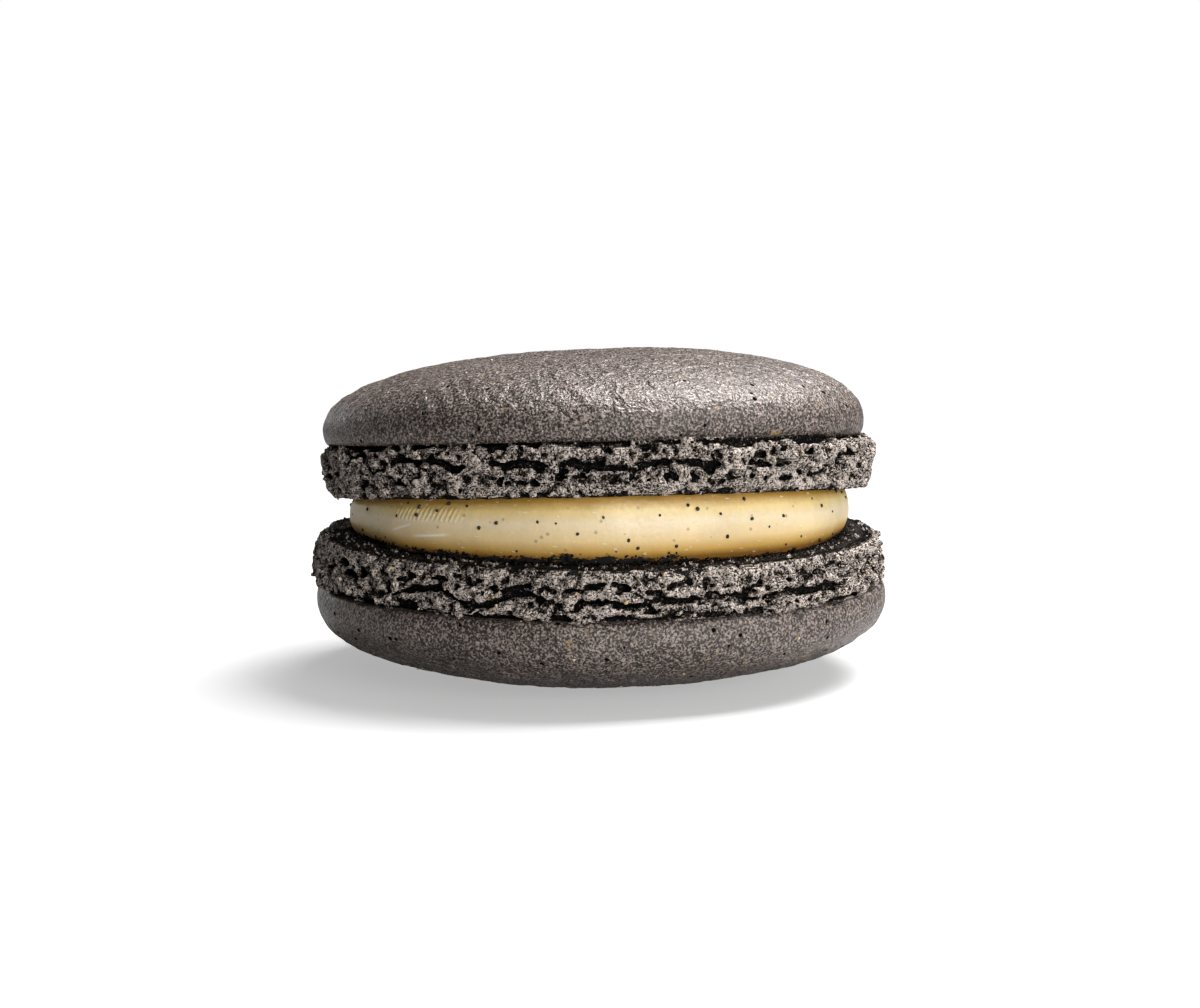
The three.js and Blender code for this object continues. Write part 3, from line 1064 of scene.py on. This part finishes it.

# %% [markdown]
# Ganache is a set cream: pale, glossy and a little see-through. Towards both shells it turns
# golden and dark: partly a golden tint where it is thin and the crumb has drawn fat out of it,
# and partly painted shade and warm bounce light where the shells hang over it. Blurred grey dots
# are seeds under the surface. Along its foot, noise makes a ragged black edge from the height
# that was kept on the mesh, partly crumb that took up fat and partly painted shadow under the
# bulge, which is flatter and finer than balls stuck to the side.

# %% Ganache finish
def make_cream():
    """Colour by the share of the height with painted shade at both edges, then random shade,
    buried seeds, painted glints, painted highlight streaks, and the painted shadow with dark
    crumb.
    """
    material, start, place = start_material("vanilla_ganache")
    drift = place.noise(0.5, 3.0)
    fine = place.noise(3.0, 3.0)
    # Painted shade: golden and dark towards both shells, by the share of the height
    base = (start.kept("climb") + 0.05 * (drift - 0.5) + 0.03 * (fine - 0.5)).colours(
        (0.12, (0.250, 0.110, 0.018)),
        (0.22, (0.640, 0.390, 0.095)),
        (0.37, (0.800, 0.605, 0.300)),
        (0.60, (0.850, 0.700, 0.460)),
        (0.77, (0.800, 0.605, 0.255)),
        (0.90, (0.440, 0.245, 0.045)),
    )
    shade = 1.0 - 0.25 * (drift - 0.5) - 0.12 * (fine - 0.5)
    base = start.node("VectorMath", {"operation": "SCALE"}, {0: base, "Scale": shade})
    buried = (1.0 - place.spots(0.75).ramp(0.05, 0.14)) * 0.6
    base = buried.blend(base, colour(0.26, 0.20, 0.14))
    # Painted highlights: pale dashes stand for glints of the lights on small dents
    glint = place.scaled(1.5, 1.5, 6.0).noise(0.9, 1.5).ramp(0.69, 0.73)
    base = (glint * 0.6).blend(base, colour(0.93, 0.86, 0.70))
    # Painted highlights: near-white streaks along the lines kept as crease
    base = (start.kept("crease") * 0.85).blend(base, colour(1.0, 0.96, 0.86))
    ragged = place.scaled(0.6, 0.6, 1.5).noise(1.3, 4.0, Roughness=0.7)
    # Painted shadow: a ragged black band along the foot, partly crumb that took up fat
    shadow_and_wet = (start.kept("soaked") + 0.45 * (ragged - 0.52)).ramp(-0.008, 0.008)
    base = shadow_and_wet.blend(base, colour(0.006, 0.005, 0.004))
    relief = fine + 0.8 * glint
    normal = start.node("Bump", {}, {"Height": relief, "Strength": 0.6, "Distance": 0.00006})
    finish_material(start, {
        "Base Color": base,
        "Roughness": 0.34 + 0.12 * fine + 0.6 * shadow_and_wet,
        "Normal": normal,
        "Specular IOR Level": 0.5,
        "Subsurface Weight": 0.35,
        "Subsurface Radius": (0.0012, 0.0008, 0.0004),
        "Subsurface Scale": 1.0,
    })
    return material


cream = make_cream()

# %% [markdown]
# Vanilla seeds are nearly black and a little shiny. The flecks are splinters of almond, from
# ivory to gold, by a tone that each one carries.

# %% Seeds and flecks
def make_seed_skin():
    material, start, place = start_material("vanilla_seed")
    grain = place.noise(8.0, 2.0)
    base = grain.blend(colour(0.004, 0.003, 0.003), colour(0.022, 0.016, 0.012))
    finish_material(start, {"Base Color": base, "Roughness": 0.3 + 0.2 * grain})
    return material


def make_almond():
    material, start, place = start_material("almond_fleck")
    grain = place.noise(7.0, 2.0)
    base = (start.kept("tone") * 0.9 + 0.2 * grain).colours(
        (0.0, (0.48, 0.30, 0.09)),
        (0.5, (0.62, 0.46, 0.20)),
        (1.0, (0.78, 0.70, 0.55)),
    )
    finish_material(start, {"Base Color": base, "Roughness": 0.5 + 0.2 * grain})
    return material


seed_skin = make_seed_skin()
almond = make_almond()

# %% [markdown]
# Each piece now gets its finish, rides on the one body that a macaron has, and stands for the
# solid that it covers.

# %% Dressing
DRESS = [
    (bottom_dome, crust, "shell", "bottom_shell"),
    (bottom_foot, crumb, "shell", "bottom_shell"),
    (bottom_inner_face, crumb, "shell", "bottom_shell"),
    (ganache, cream, "ganache", "filling"),
    (top_dome, crust, "shell", "top_shell"),
    (top_foot, crumb, "shell", "top_shell"),
    (top_inner_face, crumb, "shell", "top_shell"),
    (vanilla_seeds, seed_skin, "ganache", None),
    (shell_crumbs, crumb, "shell", None),
    (almond_flecks, almond, "shell", None),
]
for piece, material, slot, node in DRESS:
    piece.data.materials.append(material)
    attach(piece, "root")
    if node:
        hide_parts(node)

# %% [markdown]
# The macaron stands on a plain white table in soft light. A large softbox overhead, a little
# behind, draws the bright band along the shoulder of the dome. One at the front right and a
# weaker one at the right light the feet, and a faint one behind the left side draws its rim.
# Away from the macaron the table fades into the white behind it.

# %% Floor and light
FLOOR_RADIUS = 400.0
FLOOR_CORNERS = 96
FLOOR_LEVEL = -0.02  # just under the macaron, so that the two don't share a plane


def make_floor():
    """A white disc just under the level that the macaron rests on."""
    turn = np.linspace(0, 2 * np.pi, FLOOR_CORNERS, endpoint=False)
    rim = round_points(FLOOR_RADIUS, turn, FLOOR_LEVEL)
    floor = add_mesh("floor", rim, [np.arange(FLOOR_CORNERS)[None]])
    material, start, place = start_material("white_table")
    grain = place.noise(0.02, 2.0)
    base = grain.blend(colour(0.78, 0.78, 0.78), colour(0.82, 0.82, 0.82))
    away = start.node("VectorMath", {"operation": "LENGTH"}, {0: place}, out="Value")
    shown = 0.6 - 0.3 * away.ramp(18.0, 50.0) - 0.3 * away.ramp(60.0, 300.0)
    finish_material(start, {"Base Color": base, "Roughness": 0.85, "Alpha": shown})
    floor.data.materials.append(material)


def add_softbox(name, azimuth, rise, distance, size, watts):
    """An area light aimed at the macaron; azimuth 0 is the camera's side, positive to the
    right."""
    data = bpy.data.lights.new(name, "AREA")
    data.shape = "RECTANGLE"
    data.size, data.size_y = size
    data.energy = watts
    light = bpy.data.objects.new(name, data)
    bpy.context.scene.collection.objects.link(light)
    a, e = math.radians(azimuth), math.radians(rise)
    offset = np.array([math.sin(a) * math.cos(e), -math.cos(a) * math.cos(e), math.sin(e)])
    light.location = offset * distance + np.array([0, 0, AIM[2]])
    light.rotation_euler = (math.pi / 2 - e, 0, a)


make_floor()
add_softbox("overhead", 122, 62, 0.7, (0.42, 0.42), 12.0)
add_softbox("front_right", 29, 9, 0.7, (0.4, 0.3), 3.7)
add_softbox("right", 80, 16, 0.7, (0.5, 0.4), 1.1)
add_softbox("left_rim", -145, 8, 0.7, (0.3, 0.2), 0.3)

world = bpy.data.worlds.new("studio")
bpy.context.scene.world = world
world.use_nodes = True
world.node_tree.nodes.clear()
sky = Wire(world.node_tree)
seen = sky.node("LightPath", {}, {}, out="Is Camera Ray")
glow = sky.node("Background", {}, {"Color": colour(1, 1, 1), "Strength": 0.09 + seen * 0.91})
world_output = world.node_tree.nodes.new("ShaderNodeOutputWorld")
world.node_tree.links.new(glow.socket, world_output.inputs["Surface"])

scene = bpy.context.scene
scene.view_settings.view_transform = "Standard"
scene.view_settings.look = "None"
scene.view_settings.exposure = 0.0
scene.view_settings.gamma = 1.0
